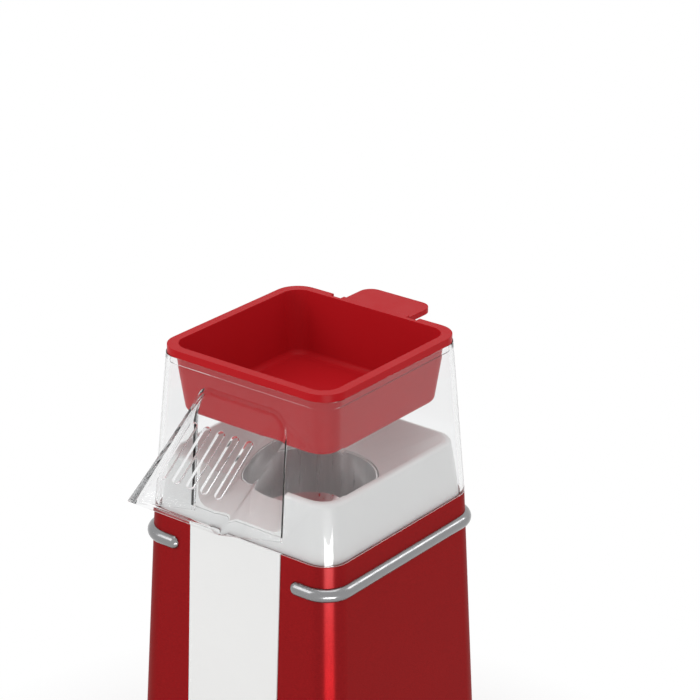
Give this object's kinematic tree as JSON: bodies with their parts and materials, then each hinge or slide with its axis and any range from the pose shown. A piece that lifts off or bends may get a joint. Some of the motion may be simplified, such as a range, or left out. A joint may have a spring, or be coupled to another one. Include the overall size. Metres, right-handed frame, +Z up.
{
  "type": "hot-air popcorn maker",
  "caption": "Upright hot-air popcorn maker: tapered square body, funnel deck over a metal chamber, clear hood with slotted spout, and a square scoop that is also the lid.",
  "frame": {"origin": "middle of the whole footprint, on the table under the feet", "axes": "+Z up, -Y towards the front with the spout, +X to the right as seen from the front"},
  "size_m": [0.14, 0.1802, 0.292],
  "materials": {
    "white_plastic": "smooth white",
    "black_rubber": "matte",
    "screw_steel": "zinc plated",
    "plain_aluminium": "mill finish",
    "plate_steel": "zinc plated",
    "chamber_aluminium": "satin",
    "seal_rubber": "matte silicone",
    "mica": "matte mica sheet",
    "heater_wire": "oxidised wire",
    "dark_plastic": "fine texture",
    "board": "solder mask",
    "red_shell": "metallic red lacquer",
    "satin_band": "satin silver",
    "clear_plastic": "clear, polished",
    "red_scoop": "semi-gloss red"
  },
  "bodies": {
    "housing": {"base_tray": "white_plastic", "rubber_feet": "black_rubber", "base_screws": "screw_steel", "support_posts": "plain_aluminium", "chassis_plate": "plate_steel", "post_screws": "screw_steel", "air_duct": "plain_aluminium", "duct_screws": "screw_steel", "popping_chamber": "chamber_aluminium", "chamber_seal": "seal_rubber", "mica_former": "mica", "heating_coil": "heater_wire", "thermostat": "dark_plastic", "thermal_fuse": "screw_steel", "motor_can": "plate_steel", "motor_screws": "screw_steel", "rectifier_board": "board", "outer_shell": "red_shell", "front_panel": "white_plastic", "upper_trim_band": "satin_band", "funnel_deck": "white_plastic", "deck_screws": "screw_steel", "switch_frame": "dark_plastic", "cord_gland": "black_rubber", "terminal_block": "white_plastic"},
    "fan": {"motor_shaft": "screw_steel", "fan_impeller": "dark_plastic"},
    "rocker": {"switch_rocker": "dark_plastic"},
    "hood": {"clear_hood": "clear_plastic", "spout_cover": "clear_plastic"},
    "scoop": {"measuring_scoop": "red_scoop"}
  },
  "joints": [
    {"name": "hood_lift", "type": "slide", "parent": "housing", "child": "hood", "axis": [0, 0, 1], "range_m": [0, 0.09]},
    {"name": "scoop_lift", "type": "slide", "parent": "hood", "child": "scoop", "axis": [0, 0, 1], "range_m": [0, 0.1]},
    {"name": "fan_spin", "type": "hinge", "parent": "housing", "child": "fan", "pos_m": [0, 0.0149, 0.085], "axis": [0, 0, 1], "continuous": true},
    {"name": "switch_rock", "type": "hinge", "parent": "housing", "child": "rocker", "pos_m": [0, 0.07995, 0.04742], "axis": [1, 0, 0], "range_deg": [-16, 0]}
  ]
}
